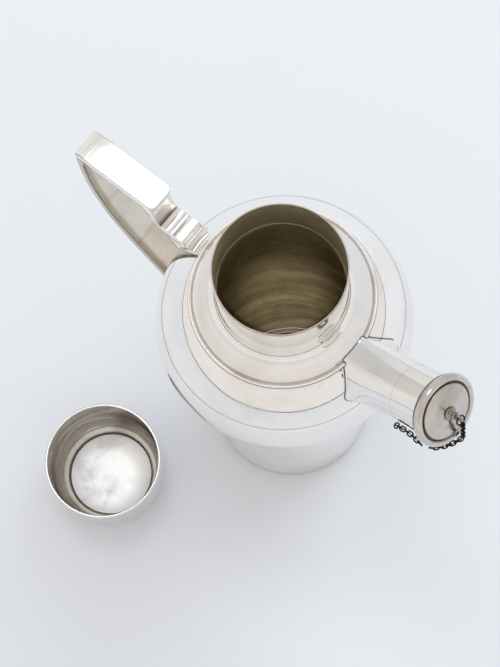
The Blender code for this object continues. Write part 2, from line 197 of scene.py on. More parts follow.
def turned(name, outline, materials, stretches=(), steps=FINE, matrix=None, smooth_angle=SMOOTH_ANGLE):
    """Turn a closed outline of (radius, height), listed so that its outer side runs downwards.

    stretches holds ranges of outline segments, which take the second and later materials in turn.
    """
    points, rings = [], []
    for radius, height in outline:
        if radius < 1e-6:
            rings.append([len(points)] * steps)
            points.append(Vector((0, 0, height)))
            continue
        rings.append(list(range(len(points), len(points) + steps)))
        points += [Vector((radius * math.cos(a), radius * math.sin(a), height))
                   for a in (2 * math.pi * i / steps for i in range(steps))]
    faces, slots = [], []
    for k, ring in enumerate(rings):
        following = rings[(k + 1) % len(rings)]
        slot = next((number for number, stretch in enumerate(stretches, 1) if k in stretch), 0)
        for i in range(steps):
            j = (i + 1) % steps
            corners = list(dict.fromkeys((ring[i], following[i], following[j], ring[j])))
            if len(corners) > 2:
                faces.append(corners)
                slots.append(slot)
    if matrix:
        points = [matrix @ p for p in points]
    return finish_mesh(name, points, faces, materials, slots, smooth_angle)


# A rounded edge's levels: inset from the outline and depth from the end face, both over its radius
EDGE_LEVELS = ((1.0, 0.0), (0.3, 0.3), (0.0, 1.0), (0.0, 1.4))


def extruded(name, outline, half, material, edge):
    """Extrude an (x, z) outline to both sides in Y and round its long edges."""
    levels = [(inset * edge, depth * edge - half) for inset, depth in EDGE_LEVELS]
    levels += [(inset, -y) for inset, y in reversed(levels)]
    rings = [[Vector((x, y, z)) for x, z in inset_outline(outline, inset)] for inset, y in levels]
    count = len(outline)
    points = [p for ring in rings for p in ring]
    faces = [list(range(count)), list(range(len(points) - 1, len(points) - count - 1, -1))]
    for k in range(len(rings) - 1):
        for i in range(count):
            j = (i + 1) % count
            faces.append([k * count + i, (k + 1) * count + i, (k + 1) * count + j, k * count + j])
    obj = finish_mesh(name, points, faces, [material])
    fix_normals(obj)
    return obj


def inset_outline(outline, distance):
    """Shrink a closed outline by a small distance."""
    if distance == 0:
        return list(outline)
    area = sum(a[0] * b[1] - b[0] * a[1] for a, b in zip(outline, outline[1:] + outline[:1]))
    sign = 1 if area > 0 else -1
    moved = []
    for i, point in enumerate(outline):
        before = Vector(point) - Vector(outline[i - 1])
        after = Vector(outline[(i + 1) % len(outline)]) - Vector(point)
        normal = Vector((0.0, 0.0))
        for side in (before, after):
            if side.length > 1e-6:
                normal += Vector((-side.y, side.x)).normalized()
        normal = normal.normalized() if normal.length > 1e-6 else normal
        moved.append((point[0] + sign * normal.x * distance, point[1] + sign * normal.y * distance))
    return moved


def fix_normals(obj):
    """Turn every face outwards."""
    bm = bmesh.new()
    bm.from_mesh(obj.data)
    bmesh.ops.recalc_face_normals(bm, faces=bm.faces)
    bm.to_mesh(obj.data)
    bm.free()


def ring_points(centre, normal, first, radius, wire, steps, sides, stretch=0.0):
    """Points and faces of a ring of wire, drawn out to an oval by stretch along first."""
    normal, first = normal.normalized(), first.normalized()
    second = normal.cross(first)
    points, faces = [], []
    for i in range(steps):
        angle = 2 * math.pi * i / steps
        out = first * math.cos(angle) + second * math.sin(angle)
        shift = first * stretch * max(-1.0, min(1.0, 4 * math.cos(angle)))
        middle = centre + out * radius + shift
        points += [middle + (out * math.cos(b) + normal * math.sin(b)) * wire
                   for b in (2 * math.pi * k / sides for k in range(sides))]
    for i in range(steps):
        j = (i + 1) % steps
        for k in range(sides):
            n = (k + 1) % sides
            faces.append([i * sides + k, j * sides + k, j * sides + n, i * sides + n])
    return points, faces


def wire_ring(name, centre, normal, radius, wire, material, steps, sides, first=None, stretch=0.0):
    """A ring or oval link of round wire about a centre."""
    first = first or normal.orthogonal()
    points, faces = ring_points(centre, normal, first, radius, wire, steps, sides, stretch)
    return finish_mesh(name, points, faces, [material], smooth_angle=WIRE_ANGLE)


# -------------------------------------------------------------- materials

class Nodes:
    """Short calls for building a node tree in a material or a world."""

    def __init__(self, owner, space):
        owner.use_nodes = True
        self.tree = owner.node_tree
        self.place = self.tree.nodes.new("ShaderNodeTexCoord").outputs[space]

    def link(self, source, target):
        self.tree.links.new(source, target)

    def stretched(self, scale, turn=(0, 0, 0)):
        node = self.tree.nodes.new("ShaderNodeMapping")
        node.inputs["Scale"].default_value = scale
        node.inputs["Rotation"].default_value = turn
        self.link(self.place, node.inputs["Vector"])
        return node.outputs["Vector"]

    def noise(self, scale, detail, rough=0.55, vector=None, distortion=0.0):
        node = self.tree.nodes.new("ShaderNodeTexNoise")
        node.inputs["Scale"].default_value = scale
        node.inputs["Detail"].default_value = detail
        node.inputs["Roughness"].default_value = rough
        node.inputs["Distortion"].default_value = distortion
        self.link(vector or self.place, node.inputs["Vector"])
        return node.outputs["Fac"]

    def spread(self, source, low, high, to_low=0.0, to_high=1.0):
        node = self.tree.nodes.new("ShaderNodeMapRange")
        node.interpolation_type = "SMOOTHSTEP"
        for key, value in (("From Min", low), ("From Max", high), ("To Min", to_low), ("To Max", to_high)):
            node.inputs[key].default_value = value
        self.link(source, node.inputs["Value"])
        return node.outputs["Result"]

    def math(self, operation, first, second=None):
        node = self.tree.nodes.new("ShaderNodeMath")
        node.operation = operation
        for socket, value in zip(node.inputs, (first, second)):
            if isinstance(value, (int, float)):
                socket.default_value = value
            elif value is not None:
                self.link(value, socket)
        return node.outputs["Value"]

    def mix(self, amount, first, second):
        node = self.tree.nodes.new("ShaderNodeMix")
        node.data_type = "RGBA"
        self.link(amount, node.inputs["Factor"])
        for key, value in (("A", first), ("B", second)):
            socket = [s for s in node.inputs if s.name == key and s.type == "RGBA"][0]
            if isinstance(value, tuple):
                socket.default_value = (*value, 1.0)
            else:
                self.link(value, socket)
        return [s for s in node.outputs if s.type == "RGBA"][0]

    def bump(self, height, strength, distance, normal=None):
        node = self.tree.nodes.new("ShaderNodeBump")
        node.inputs["Strength"].default_value = strength
        node.inputs["Distance"].default_value = distance
        self.link(height, node.inputs["Height"])
        if normal:
            self.link(normal, node.inputs["Normal"])
        return node.outputs["Normal"]

    def along(self, axis):
        node = self.tree.nodes.new("ShaderNodeSeparateXYZ")
        self.link(self.place, node.inputs["Vector"])
        return node.outputs[axis]


class MaterialNodes(Nodes):
    """The node tree of a new material, in its object's own coordinates."""

    def __init__(self, name):
        self.material = bpy.data.materials.new(name)
        super().__init__(self.material, "Object")
        self.shader = self.tree.nodes["Principled BSDF"]


# The scratches: the turn of each set about Z, and the noise at which it begins to show
HAIRLINES = ((0.3, 0.66), (1.4, 0.67), (2.4, 0.68))
HAIR_EDGE = 0.06
# Brown that occluded creases take: tarnish together with painted shade
TARNISH_AND_SHADE = (0.26, 0.205, 0.165)


def silver(name, clean=(0.955, 0.940, 0.915), dull=(0.80, 0.76, 0.70), rough=(0.035, 0.11), waves=0.00012,
           scratches=0.35, cloud=0.5, crease_tarnish_and_shade=0.85, reach=0.0016, band=None):
    """Polished silver: handling haze, waves in the sheet, random scratches, and brown tarnish with painted
    shade in its creases.

    band gives a tinted (axis, low, high, softness, colour) stretch of the sheet: a painted reflection laid
    into its colour.
    """
    n = MaterialNodes(name)
    haze = n.noise(38, 4, 0.6, distortion=0.6)
    spots = n.noise(420, 2, 0.5)
    worn = n.spread(haze, 0.42, 0.72)
    colour = n.mix(n.math("MULTIPLY", worn, cloud), clean, dull)
    # The band paints a reflection into the metal's colour
    if band:
        axis, low, high, soft, painted_reflection_tone = band
        along = n.along(axis)
        inside = n.math("MULTIPLY", n.spread(along, low - soft, low + soft),
                        n.spread(along, high - soft, high + soft, 1.0, 0.0))
        colour = n.mix(inside, colour, painted_reflection_tone)
    # Painted shade and tarnish: ambient occlusion darkens the creases towards the brown
    shade_occlusion = n.tree.nodes.new("ShaderNodeAmbientOcclusion")
    shade_occlusion.samples = 6
    shade_occlusion.inputs["Distance"].default_value = reach
    deep = n.math("MULTIPLY", n.spread(shade_occlusion.outputs["AO"], 0.45, 0.92, 1.0, 0.0), crease_tarnish_and_shade)
    n.link(n.mix(deep, colour, TARNISH_AND_SHADE), n.shader.inputs["Base Color"])
    fine = n.spread(spots, 0.35, 0.7)
    blend = n.math("ADD", n.math("MULTIPLY", worn, 0.75), n.math("MULTIPLY", fine, 0.25))
    n.link(n.math("ADD", n.spread(blend, 0.0, 1.0, *rough), n.math("MULTIPLY", deep, 0.25)),
           n.shader.inputs["Roughness"])
    sheet = n.bump(n.noise(26, 2, 0.5), 1.0, waves)
    hair = 0.0
    for turn, start in HAIRLINES:
        lines = n.noise(900, 2, 0.6, n.stretched((1, 0.03, 0.2), (0, 0, turn)))
        hair = n.math("MAXIMUM", hair, n.spread(lines, start, start + HAIR_EDGE))
    n.link(n.bump(hair, scratches, -0.000004, sheet), n.shader.inputs["Normal"])
    n.shader.inputs["Metallic"].default_value = 1.0
    return n.material


def tarnished(name, dark, light, rough=(0.34, 0.5)):
    """The pot's unpolished inside: brown tarnish in soft rings left by spinning and by drink."""
    n = MaterialNodes(name)
    rings = n.noise(55, 4, 0.6, n.stretched((0.15, 0.15, 1.0)))
    patches = n.noise(30, 4, 0.65, distortion=1.2)
    amount = n.math("ADD", n.math("MULTIPLY", n.spread(rings, 0.36, 0.64), 0.6),
                    n.math("MULTIPLY", n.spread(patches, 0.35, 0.7), 0.4))
    specks = n.math("MULTIPLY", n.spread(n.noise(650, 2, 0.6), 0.60, 0.72), 0.45)
    n.link(n.mix(specks, n.mix(amount, dark, light), tuple(min(1.25 * c, 1) for c in light)),
           n.shader.inputs["Base Color"])
    n.link(n.spread(patches, 0.3, 0.7, *rough), n.shader.inputs["Roughness"])
    grain = n.noise(260, 3, 0.6, n.stretched((0.3, 0.3, 1.0)))
    n.link(n.bump(grain, 0.35, 0.0001), n.shader.inputs["Normal"])
    n.shader.inputs["Metallic"].default_value = 0.3
    return n.material


def oxidised(name, dark=(0.022, 0.020, 0.018), bright=(0.55, 0.52, 0.48)):
    """Blackened silver whose high spots are rubbed bright."""
    n = MaterialNodes(name)
    rub = n.spread(n.noise(900, 3, 0.6), 0.60, 0.72)
    n.link(n.mix(rub, dark, bright), n.shader.inputs["Base Color"])
    n.link(n.spread(rub, 0, 1, 0.42, 0.18), n.shader.inputs["Roughness"])
    n.link(n.bump(n.noise(2200, 2), 0.4, 0.00005), n.shader.inputs["Normal"])
    n.shader.inputs["Metallic"].default_value = 1.0
    return n.material


# The body's pinkish band round its widest part is a painted reflection of the shaded floor next to the pot
BODY_SILVER = silver("body_silver", clean=(0.935, 0.92, 0.897),
                     band=("Z", 0.150, 0.1875, 0.003, (0.90, 0.86, 0.85)))
TIER_SILVER = silver("tier_silver", waves=0.00006, crease_tarnish_and_shade=0.35)
TIER_GROOVE = silver("tier_groove_silver", clean=(0.62, 0.55, 0.50), dull=(0.42, 0.35, 0.31),
                     rough=(0.14, 0.3), cloud=0.8, crease_tarnish_and_shade=0.6)
TIER_RIM = silver("tier_rim_silver", clean=(0.97, 0.955, 0.935), rough=(0.4, 0.5), crease_tarnish_and_shade=0.5)
NECK_SILVER = silver("neck_silver", clean=(0.865, 0.85, 0.826), waves=0.00006, crease_tarnish_and_shade=0.3)
LIP_SILVER = silver("lip_silver", clean=(0.50, 0.44, 0.36), dull=(0.34, 0.29, 0.22), rough=(0.28, 0.42))
SPOUT_SILVER = silver("spout_silver", clean=(0.885, 0.874, 0.857), rough=(0.015, 0.06), waves=0.00004,
                      cloud=0.4)
HANDLE_SILVER = silver("handle_silver", rough=(0.02, 0.045), waves=0.000008)
# The bracket's wide, strong crease darkening also paints the shade of the cove under the bar
BRACKET_SILVER = silver("bracket_silver", clean=(0.95, 0.925, 0.89), dull=(0.72, 0.66, 0.58),
                        rough=(0.11, 0.22), cloud=0.8, crease_tarnish_and_shade=0.75, reach=0.0022)
EDGE_SILVER = silver("handle_edge_silver", clean=(0.42, 0.40, 0.38), dull=(0.28, 0.26, 0.24),
                     rough=(0.2, 0.34))
# The strap's brown stretch on its near side is a painted reflection
STRAP_SILVER = silver("strap_silver", clean=(0.77, 0.72, 0.65), dull=(0.58, 0.52, 0.44),
                      rough=(0.12, 0.26), waves=0.0001, cloud=0.7,
                      band=("Y", -0.012, -0.0042, 0.0012, (0.47, 0.41, 0.31)))
LID_SILVER = silver("lid_silver", clean=(0.83, 0.823, 0.813), rough=(0.06, 0.16))
LID_INSIDE = silver("lid_inside_silver", clean=(0.66, 0.635, 0.59), dull=(0.40, 0.365, 0.31),
                    rough=(0.10, 0.24), scratches=0.8, cloud=0.9)
# The lid floor's wide occlusion reach darkens round its edge: painted shade with tarnish
LID_FLOOR = silver("lid_floor_silver", clean=(0.82, 0.815, 0.805), dull=(0.60, 0.59, 0.59),
                   rough=(0.40, 0.50), scratches=1.0, reach=0.004)
CAP_SILVER = silver("cap_silver", clean=(0.67, 0.645, 0.61), dull=(0.48, 0.45, 0.40),
                    rough=(0.08, 0.22), cloud=0.7)
CAP_SATIN = silver("cap_satin", clean=(0.64, 0.613, 0.57), dull=(0.42, 0.39, 0.345),
                   rough=(0.20, 0.34), scratches=0.9, cloud=0.9)
CAP_KNOB = silver("cap_knob_silver", clean=(0.42, 0.40, 0.36), dull=(0.16, 0.145, 0.12),
                  rough=(0.12, 0.3), cloud=0.9, reach=0.003)
INSIDE = tarnished("inside_tarnish", dark=(0.36, 0.285, 0.165), light=(0.80, 0.68, 0.44))
NECK_INSIDE = tarnished("neck_inside_tarnish", dark=(0.26, 0.21, 0.13), light=(0.48, 0.40, 0.265))
INNER_LINE = tarnished("inner_line_tarnish", dark=(0.50, 0.44, 0.33), light=(0.78, 0.71, 0.57))
BASE_INSIDE = tarnished("base_inside_tarnish", dark=(0.05, 0.05, 0.022), light=(0.13, 0.12, 0.06))
CHAIN_METAL = oxidised("chain_oxide")
SEAM = oxidised("seam_tarnish", dark=(0.13, 0.10, 0.075), bright=(0.45, 0.38, 0.31))
# Dark metal for the spout's waist joint and for the strap's painted reflection line
GROOVE_TARNISH_AND_REFLECTION = oxidised("groove_tarnish_and_painted_reflection", dark=(0.27, 0.215, 0.18), bright=(0.56, 0.49, 0.43))


# ---------------------------------------------------------------- the pot

def belly_curve():
    """The body's outer side from the shoulder down to the foot ring."""
    upper = bezier(BELLY_TOP, (51, 206), (EQUATOR_R, 187), (EQUATOR_R, EQUATOR_Z), 48)
    centre = (EQUATOR_R - UNDER_R, EQUATOR_Z)
    under = arc(centre, UNDER_R, 0, -math.degrees(UNDER_ANGLE), 28)
    turn = Vector((-math.sin(UNDER_ANGLE), -math.cos(UNDER_ANGLE)))
    end = Vector(under[-1])
    lower = bezier(end, end + 9 * turn, (WAIST[0] + 0.5, WAIST[1] + 12), WAIST, 28)
    straight = line(WAIST, (44.0, FOOT_HI.z + GAP), 24)
    return upper + under[1:] + lower[1:] + straight[1:]


BELLY = belly_curve()


def pot_radius(height):
    """The outer radius of the pot's body or shoulder at a height."""
    if height >= BELLY[0][1]:
        return TIER_R
    for (r0, z0), (r1, z1) in zip(BELLY, BELLY[1:]):
        if z0 >= height >= z1:
            return r0 + (r1 - r0) * (z0 - height) / max(z0 - z1, 1e-6)
    return BELLY[-1][0]


def make_body():
    inner = offset(BELLY, -WALL)[::-1]
    obj = turned("pot_body", BELLY + inner, [BODY_SILVER, INSIDE], [range(len(BELLY) - 1, 2 * len(BELLY))])
    return [(obj, ["body_shell"], "silver_body")]


def shoulder_curve():
    """The shoulder's outer side: a raised rim, a groove, the sloping step and its rise to the neck."""
    rim = [(TIER_R, BELLY_TOP[1] + 0.05)] + arc((TIER_R - 0.5, LEDGE_Z - 0.25), 0.5, 0, 150, 12)
    groove_end = (TIER_R - 2.5, LEDGE_Z + 1.05)
    groove = bezier((TIER_R - 1.0, LEDGE_Z - 0.02), (TIER_R - 1.5, LEDGE_Z),
                    (TIER_R - 2.1, LEDGE_Z + 0.4), groove_end, 12)
    slope_end = (36.5, 217.9)
    slope = bezier(groove_end, (TIER_R - 2.7, LEDGE_Z + 1.4), (TIER_R - 3.6, LEDGE_Z + 1.95), slope_end, 16)
    rise = bezier(slope_end, (33.5, 218.8), (32.2, 220.3), (31.5, NECK_FOOT - GAP), 22)
    return rim + groove + slope[1:] + rise[1:]


SHOULDER = shoulder_curve()
RIM_COUNT, GROOVE_END = 13, 24       # points of the curve up to the rim's end and the groove's end


def make_tier():
    inner = offset(SHOULDER[GROOVE_END + 2:], WALL)[::-1]
    inner += [(TIER_R - 2.9, LEDGE_Z - 0.3), (TIER_R - 1.4, SHOULDER[0][1])]
    outline = (SHOULDER + inner)[::-1]
    last = len(outline) - 1
    groove = range(last - GROOVE_END, last - RIM_COUNT + 1)
    rim = range(last - RIM_COUNT + 1, last + 1)
    obj = turned("shoulder", outline, [TIER_SILVER, INSIDE, TIER_GROOVE, TIER_RIM],
                 [range(len(inner)), groove, rim], steps=2 * FINE)
    foot = Vector((0, 0, SHOULDER[0][1] + 0.1))
    seam = wire_ring("shoulder_seam", foot, UP, TIER_R - 0.06, 0.24, SEAM, 2 * FINE, LINE_SIDES)
    return [(obj, ["shoulder_tier"], "silver_body"), (seam, [], "silver_body")]


def make_neck():
    lip = arc((NECK_OUT - 0.35, NECK_TOP - 0.37), 0.37, 0, 180, 12)
    outer = [(NECK_OUT + flare, NECK_FOOT + rise) for flare, rise in ((0.62, 0.0), (0.35, 0.9), (0.12, 2.0))]
    outer += line((NECK_OUT, NECK_FOOT + 3.4), (NECK_OUT, NECK_TOP - 1.4), 12)
    inner = line((NECK_R, NECK_TOP - 1.4), (NECK_R, NECK_FOOT), 12)
    outline = (outer + lip + inner)[::-1]
    obj = turned("neck", outline, [NECK_SILVER, NECK_INSIDE, LIP_SILVER],
                 [range(len(inner)), range(len(inner), len(inner) + len(lip))])
    foot = Vector((0, 0, NECK_FOOT))
    seam = wire_ring("neck_seam", foot, UP, NECK_OUT + 0.5, 0.12, LIP_SILVER, FINE, LINE_SIDES)
    lap = foot + UP * 7.0
    bead = wire_ring("neck_inner_line", lap, UP, NECK_R, 0.16, INNER_LINE, FINE, LINE_SIDES)
    return [(obj, ["neck_collar"], "silver_body"), (seam, [], "silver_body"), (bead, [], "silver_inside")]


def make_base():
    outer = FOOT_HI.x
    foot = rounded([(outer, 0, 1.4), (outer - 3.4, 0, 0.3), (outer - 3.4, FOOT_HI.z, 0.3),
                    (outer - 0.4, FOOT_HI.z, 0.5)])
    ring = turned("foot", foot, [BODY_SILVER])
    fix_normals(ring)
    r, top, chamfer = BASE_HI.x, BASE_HI.z, 0.2
    outline = [(0, top)] + line((4, top), (r - chamfer, top), 10)
    outline += [(r, top - chamfer), (r, chamfer), (r - chamfer, 0), (0, 0)]
    plate = turned("base", outline, [BASE_INSIDE])
    fix_normals(plate)
    return [(ring, ["foot_ring"], "silver_body"), (plate, ["base_plate"], "silver_inside")]


# ------------------------------------------------------------------ spout

ROOT_AT, WAIST_AT = -51.0, -22.0
SPOUT_WAIST, MOUTH_R, SPOUT_WALL = 14.2, 14.7, 1.2
# The root's six sides: direction from below (degrees) and distance from the axis
ROOT_FLATS = ((0.0, 18.6), (59.6, 15.5), (120.4, 16.6), (180.0, 20.6), (239.6, 16.6), (300.4, 15.5))
FLARE, ROOT_FLARE = 1.5, 2.5         # powers of the spout's growth towards its mouth and its root
EDGE_SHARPNESS = 1.6                 # of the edges between the root's sides
SPOUT_STEPS, SPOUT_RUNS = 240, 60


def axis_point(along, angle, radius):
    """A place along the spout, at an angle from its underside towards the near side."""
    return CAP_CENTRE + AXIS * along + (DOWN * math.cos(angle) - SIDE * math.sin(angle)) * radius


AXIS_FRAME = Matrix((DOWN, SIDE, AXIS)).transposed().to_4x4()
AXIS_FRAME.translation = CAP_CENTRE


def spout_radius(along, angle):
    """The spout's outer radius: round from mouth to waist, and six-sided towards the root."""
    if along > WAIST_AT:
        share = (along - WAIST_AT) / (MOUTH - WAIST_AT)
        return SPOUT_WAIST + (MOUTH_R - SPOUT_WAIST) * share ** FLARE
    share = min((WAIST_AT - along) / (WAIST_AT - ROOT_AT), 1.0) ** ROOT_FLARE
    turns = [(math.cos(angle - math.radians(facing)), reach) for facing, reach in ROOT_FLATS]
    reaches = [reach / turn for turn, reach in turns if turn > 0.2]
    least = min(reaches)
    blend = sum(math.exp(-EDGE_SHARPNESS * (reach - least)) for reach in reaches)
    root = least - math.log(blend) / EDGE_SHARPNESS
    return SPOUT_WAIST + (root - SPOUT_WAIST) * share


def shoulder_top(radius):
    """Height of the shoulder's surface at a distance from the pot's axis."""
    for (r0, z0), (r1, z1) in zip(SHOULDER, SHOULDER[1:]):
        if r0 >= radius >= r1:
            return z0 + (z1 - z0) * (r0 - radius) / max(r0 - r1, 1e-6)
    return NECK_FOOT if radius < SHOULDER[-1][0] else -1.0


def in_pot(point, sink):
    """Whether a point lies deeper than sink below the pot's outer surface."""
    radius = math.hypot(point.x, point.y)
    if point.z < BELLY_TOP[1]:
        return radius < pot_radius(point.z) - sink
    return radius < TIER_R - sink and point.z < shoulder_top(radius + sink) - sink


def root_of(angle, inset):
    """Where a line of the spout meets the pot's outer surface."""
    low, high = -60.0, -30.0
    for _ in range(40):
        middle = (low + high) / 2
        inside = in_pot(axis_point(middle, angle, spout_radius(middle, angle) - inset), 0.1)
        low, high = (middle, high) if inside else (low, middle)
    return high


def make_spout():
    angles = [2 * math.pi * i / SPOUT_STEPS for i in range(SPOUT_STEPS)]
    points, rings = [], []
    for inset, order in ((0.0, range(SPOUT_RUNS)), (SPOUT_WALL, range(SPOUT_RUNS - 1, -1, -1))):
        roots = [root_of(a, inset) for a in angles]
        for k in order:
            share = k / (SPOUT_RUNS - 1)
            rings.append(len(points))
            for angle, root in zip(angles, roots):
                along = root + (MOUTH - root) * share
                trim = 0.25 if share == 1 else 0.0
                radius = spout_radius(along, angle) - inset + (trim if inset else -trim)
                points.append(axis_point(along, angle, radius))
    faces, slots = [], []
    for k, ring in enumerate(rings):
        following = rings[(k + 1) % len(rings)]
        for i in range(SPOUT_STEPS):
            j = (i + 1) % SPOUT_STEPS
            faces.append([ring + i, ring + j, following + j, following + i])
            slots.append(1 if k >= SPOUT_RUNS else 0)
    tube = finish_mesh("spout", points, faces, [SPOUT_SILVER, INSIDE], slots, 28)
    fix_normals(tube)

    roots = [root_of(a, 0.0) for a in angles]
    path = [axis_point(root + 0.15, a, spout_radius(root, a) + 0.02) for a, root in zip(angles, roots)]
    seam = closed_wire("spout_seam", path, 0.22, SEAM)
    waist = [axis_point(WAIST_AT, a, SPOUT_WAIST - 0.07) for a in angles]
    joint = closed_wire("spout_waist_line", waist, 0.1, GROOVE_TARNISH_AND_REFLECTION)
    return [(tube, ["spout_tube"], "silver_spout"), (seam, [], "silver_spout"), (joint, [], "silver_spout")]


def closed_wire(name, path, wire, material, sides=LINE_SIDES):
    """A thin round wire along a closed path."""
    points, faces, count = [], [], len(path)
    middle = sum(path, Vector()) / count
    for i, p in enumerate(path):
        along = (path[(i + 1) % count] - path[i - 1]).normalized()
        out = p - middle
        out = (out - along * out.dot(along)).normalized()
        across = along.cross(out)
        points += [p + (out * math.cos(b) + across * math.sin(b)) * wire
                   for b in (2 * math.pi * k / sides for k in range(sides))]
    for i in range(count):
        j = (i + 1) % count
        for k in range(sides):
            n = (k + 1) % sides
            faces.append([i * sides + k, i * sides + n, j * sides + n, j * sides + k])
    obj = finish_mesh(name, points, faces, [material], smooth_angle=WIRE_ANGLE)
    fix_normals(obj)
    return obj


# ----------------------------------------------------------------- handle

FLAT_AREA = 0.00002                  # larger faces of the bar stay flat mirrors, in square metres
SHARP_ANGLE = math.radians(40)       # edges sharper than this are rounded
BAR_BEVEL, BAR_CORNER, BAR_EDGE = 3.3, 3.0, 0.35
HANDLE_SINK = 0.7                    # how far the handle's roots reach below the body's surface


def softened(obj, width):
    """Round the sharp edges, in the second material, and keep large faces flat."""
    bm = bmesh.new()
    bm.from_mesh(obj.data)
    bmesh.ops.recalc_face_normals(bm, faces=bm.faces)
    sharp = [e for e in bm.edges if len(e.link_faces) == 2 and e.calc_face_angle() > SHARP_ANGLE]
    bmesh.ops.bevel(bm, geom=sharp, offset=width * MM, segments=3, profile=0.5, affect="EDGES",
                    clamp_overlap=True)
    bm.to_mesh(obj.data)
    bm.free()
    obj.data.shade_smooth()
    corners = obj.data.vertices
    for polygon in obj.data.polygons:
        places = [corners[i].co for i in polygon.vertices]
        narrowest = min((a - b).length for a, b in zip(places, places[1:] + places[:1]))
        polygon.use_smooth = polygon.area < FLAT_AREA
        polygon.material_index = 1 if narrowest < 0.7 * width * MM else 0


def make_bar():
    """The flat bar on top, with rounded corners next to the neck and a bevelled outer end."""
    half, thick = BAR_HI.y, BAR_HI.z - BAR_LO.z
    plan = rounded([(BAR_HI.x, -half, BAR_CORNER), (BAR_HI.x, half, BAR_CORNER),
                    (BAR_LO.x, half, 0), (BAR_LO.x, -half, 0)])
    count = len(plan)
    points = [Vector((x, y, z)) for z in (BAR_LO.z, BAR_HI.z) for x, y in plan]
    faces = [list(range(count))[::-1], list(range(count, 2 * count))]
    faces += [[i, (i + 1) % count, count + (i + 1) % count, count + i] for i in range(count)]
    bar = finish_mesh("handle_bar", points, faces, [HANDLE_SILVER, EDGE_SILVER])
    bm = bmesh.new()
    bm.from_mesh(bar.data)
    cut = Vector((BAR_LO.x + BAR_BEVEL, 0, BAR_HI.z)) * MM
    slope = Vector((-1, 0, BAR_BEVEL / (thick * 0.5))).normalized()
    sides = list(bm.verts) + list(bm.edges) + list(bm.faces)
    bmesh.ops.bisect_plane(bm, geom=sides, plane_co=cut, plane_no=slope, clear_outer=True)
    bmesh.ops.holes_fill(bm, edges=[e for e in bm.edges if e.is_boundary])
    bm.to_mesh(bar.data)
    bm.free()
    softened(bar, BAR_EDGE)
    return bar


def out_of_body(points):
    """The points of a curve that aren't deep inside the pot's body."""
    return [p for p in points if -p[0] > pot_radius(p[1]) - HANDLE_SINK]


def make_bracket(under):
    """The bar's solid foot: a neck below it, two flat-topped rolls, a ledge and a curved underside."""
    roll_foot = (-70.1, 201.9)
    neck = [(-72.6, under)] + bezier((-72.4, 212), (-72.2, 206.5), (-71.4, 203.2), roll_foot, 12)
    outer_roll = bezier(roll_foot, (-69.5, 202.9), (-68.6, 203.3), (-67.4, 203.4), 8)[1:]
    outer_roll += bezier((-67.4, 203.4), (-66.2, 203.6), (-64.8, 203.5), (-64.0, 203.1), 8)[1:]
    between = [(-63.4, 202.4), (-62.9, 202.4)]
    inner_roll = bezier((-62.4, 203.1), (-61.2, 203.6), (-58.2, 203.7), (-56.3, 203.4), 12)
    ledge = [(-55.5, 203.1), (-54.9, 202.4), (-54.6, 200.9), (-52.6, 201.2), (-52.2, 203.4)]
    root = [(-(pot_radius(z) - HANDLE_SINK), z) for z in range(204, 193, -2)]
    below = [(-60.0, 194.3), (-64.0, 195.8)]
    below += bezier((-64.0, 195.8), (-72.0, 198.0), (-76.6, 203.0), (-77.4, under), 12)[1:]
    outline = neck + outer_roll + between + inner_roll + ledge + root + below
    return extruded("handle_bracket_steps", outline, BRACKET_HI.y, BRACKET_SILVER, 0.4)


def make_strap(under):
    """The curved strap from the bar's outer end down to the body, with a dark line inside its edge, a
    painted reflection.
    """
    knee_out, knee_in = (-97, 131), (-93.4, 139)
    outside = bezier((BAR_LO.x, under), (-120.84, 196), (-120.34, 160), knee_out, 40)
    outside += out_of_body(bezier(knee_out, (-83, 114), (-66, 96), (-42, 62), 40)[1:])
    inside = bezier((BAR_LO.x + 4.6, under), (-116.2, 197), (-115.6, 166), knee_in, 40)
    inside += out_of_body(bezier(knee_in, (-78, 120), (-62, 103), (-36, 67), 40)[1:])
    strap = extruded("handle_strap_skin", outside + inside[::-1], STRAP_HI.y, STRAP_SILVER, 0.45)
    # The dark strip just inside the strap's inner edge is a painted reflection
    near, deep = [offset(inside[4:-4], step) for step in (-0.1, -1.15)]
    edge = extruded("handle_strap_painted_reflection_line", deep + near[::-1], STRAP_HI.y + 0.05, GROOVE_TARNISH_AND_REFLECTION, 0.02)
    return strap, edge


def make_handle():
    under = BAR_LO.z - 0.02
    bar = make_bar()
    bracket = make_bracket(under)
    strap, edge = make_strap(under)
    return [(bar, ["handle_top_bar"], "silver_handle"), (bracket, ["handle_bracket"], "silver_handle"),
            (strap, ["handle_strap"], "silver_handle"), (edge, [], "silver_handle")]


# -------------------------------------------------------------------- lid

